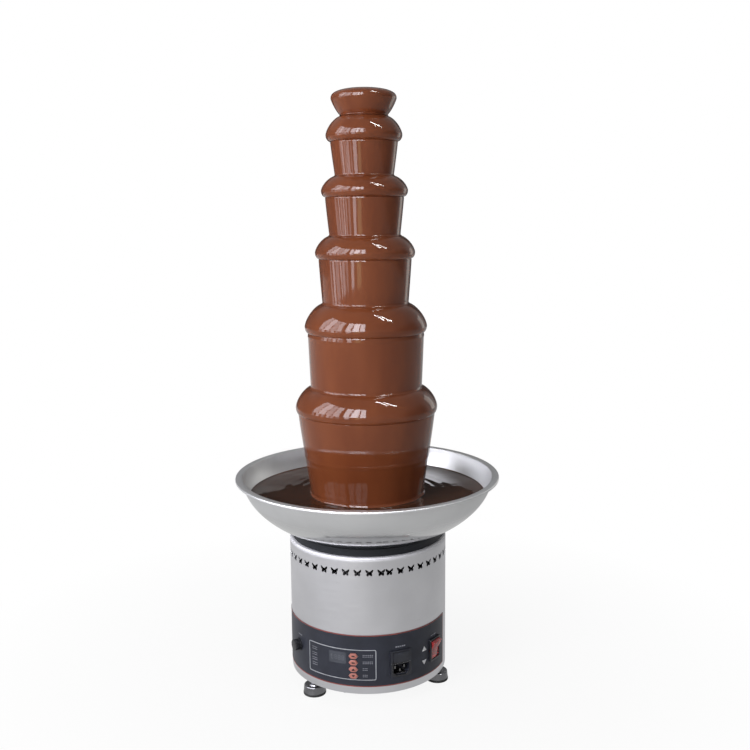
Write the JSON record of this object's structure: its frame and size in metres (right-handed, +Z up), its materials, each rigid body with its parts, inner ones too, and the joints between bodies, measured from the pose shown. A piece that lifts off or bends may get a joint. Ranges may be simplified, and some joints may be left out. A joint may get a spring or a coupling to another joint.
{
  "type": "chocolate fountain",
  "caption": "Tiered chocolate fountain: a heated basin on a round motor base, with an auger in a tube that feeds a crown and bell-shaped tiers.",
  "frame": {"origin": "on the floor plane, under the middle of the base, where the three feet stand", "axes": "+Z up along the tower, the control panel faces -Y, +X to the right as seen from the panel"},
  "size_m": [0.384, 0.384, 0.853],
  "materials": {
    "brushed_steel": "vertical brushing, satin",
    "polished_steel": "spun and polished",
    "plain_steel": "mill finish",
    "black_collar": "satin black heat-proof plastic",
    "panel_film": "dark slate film with a thin red border",
    "display_film": "grey display window",
    "display_black": "matt",
    "board_green": "solder mask",
    "black_plastic": "fine moulded grain",
    "blade_metal": "plated",
    "gearbox_metal": "die cast",
    "bronze": "sintered",
    "motor_metal": "satin paint",
    "rotor_metal": "stacked sheets and winding",
    "chocolate": "glossy, wet",
    "pool_chocolate": "glossy, wet, dark",
    "key_film": "salmon orange with a dark mark",
    "rocker_red": "moulded",
    "black_rubber": "matt",
    "foot_metal": "turned"
  },
  "bodies": {
    "base": {"housing_shell": "brushed_steel", "base_plate": "plain_steel", "base_screws": "plain_steel", "top_plate": "plain_steel", "insulating_collar": "black_collar", "basin": "polished_steel", "basin_hub": "plain_steel", "shaft_seal": "black_rubber", "shaft_bushes": "bronze", "heater_plate": "plain_steel", "thermostat": "black_plastic", "basin_fixings": "plain_steel", "panel_overlay": "panel_film", "display_window": "display_film", "display_module": "display_black", "control_board": "board_green", "inlet_body": "black_plastic", "inlet_pins": "blade_metal", "switch_bezel": "black_plastic", "fuse_holder": "black_plastic", "gearbox_case": "gearbox_metal", "gearbox_cover": "gearbox_metal", "gearbox_pillars": "plain_steel", "gearbox_bushes": "bronze", "motor_can": "motor_metal", "chocolate_pool": "pool_chocolate"},
    "drive": {"drive_shaft": "polished_steel", "drive_pin": "polished_steel", "output_gear": "gearbox_metal", "auger_core": "polished_steel", "auger_flight": "polished_steel"},
    "idler": {"idler_gear": "gearbox_metal"},
    "rotor": {"motor_rotor": "rotor_metal"},
    "tower": {"tower_tube": "polished_steel", "tier_1": "polished_steel", "tier_2": "polished_steel", "tier_3": "polished_steel", "tier_4": "polished_steel", "tier_5": "polished_steel", "curtain_1": "chocolate", "curtain_2": "chocolate", "curtain_3": "chocolate", "curtain_4": "chocolate", "curtain_5": "chocolate"},
    "crown": {"crown": "polished_steel", "crown_chocolate": "chocolate"},
    "rocker": {"rocker": "rocker_red"},
    "fuse_drawer": {"fuse_drawer": "black_plastic"},
    "fuse_cap": {"fuse_cap": "black_plastic"},
    "key_1": {"key_1": "key_film"},
    "key_2": {"key_2": "key_film"},
    "key_3": {"key_3": "key_film"},
    "key_4": {"key_4": "key_film"},
    "foot_1": {"foot_1": "foot_metal", "foot_sole_1": "black_rubber"},
    "foot_2": {"foot_2": "foot_metal", "foot_sole_2": "black_rubber"},
    "foot_3": {"foot_3": "foot_metal", "foot_sole_3": "black_rubber"}
  },
  "joints": [
    {"name": "auger_spin", "type": "hinge", "parent": "base", "child": "drive", "pos_m": [0, 0, 0.25], "axis": [0, 0, 1], "continuous": true},
    {"name": "idler_spin", "type": "hinge", "parent": "base", "child": "idler", "pos_m": [0, 0.04375, 0.16], "axis": [0, 0, 1], "continuous": true},
    {"name": "rotor_spin", "type": "hinge", "parent": "base", "child": "rotor", "pos_m": [0, 0.01495, 0.1], "axis": [0, 0, 1], "continuous": true},
    {"name": "tower_lift", "type": "slide", "parent": "base", "child": "tower", "axis": [0, 0, 1], "range_m": [0, 0.6]},
    {"name": "crown_lift", "type": "slide", "parent": "tower", "child": "crown", "axis": [0, 0, 1], "range_m": [0, 0.08]},
    {"name": "power_rocker", "type": "hinge", "parent": "base", "child": "rocker", "pos_m": [0.09362, -0.06678, 0.0645], "axis": [-0.5807, -0.8141, 0], "range_deg": [0, 24]},
    {"name": "fuse_drawer_slide", "type": "slide", "parent": "base", "child": "fuse_drawer", "axis": [0.3827, -0.9239, 0], "range_m": [0, 0.015]},
    {"name": "fuse_cap_turn", "type": "hinge", "parent": "base", "child": "fuse_cap", "pos_m": [-0.10444, -0.05909, 0.0685], "axis": [-0.8704, -0.4924, 0], "range_deg": [0, 90]},
    {"name": "key_1_press", "type": "slide", "parent": "base", "child": "key_1", "axis": [0.1908, 0.9816, 0], "range_m": [0, 0.0005], "stiffness_N_per_m": 600, "springref_m": -0.0005},
    {"name": "key_2_press", "type": "slide", "parent": "base", "child": "key_2", "axis": [0.1908, 0.9816, 0], "range_m": [0, 0.0005], "stiffness_N_per_m": 600, "springref_m": -0.0005},
    {"name": "key_3_press", "type": "slide", "parent": "base", "child": "key_3", "axis": [0.1908, 0.9816, 0], "range_m": [0, 0.0005], "stiffness_N_per_m": 600, "springref_m": -0.0005},
    {"name": "key_4_press", "type": "slide", "parent": "base", "child": "key_4", "axis": [0.1908, 0.9816, 0], "range_m": [0, 0.0005], "stiffness_N_per_m": 600, "springref_m": -0.0005},
    {"name": "foot_1_level", "type": "slide", "parent": "base", "child": "foot_1", "axis": [0, 0, -1], "range_m": [0, 0.01]},
    {"name": "foot_2_level", "type": "slide", "parent": "base", "child": "foot_2", "axis": [0, 0, -1], "range_m": [0, 0.01]},
    {"name": "foot_3_level", "type": "slide", "parent": "base", "child": "foot_3", "axis": [0, 0, -1], "range_m": [0, 0.01]}
  ],
  "couplings": [
    {"joint": "idler_spin", "follows": "auger_spin", "ratio": -4},
    {"joint": "rotor_spin", "follows": "auger_spin", "ratio": 20}
  ]
}
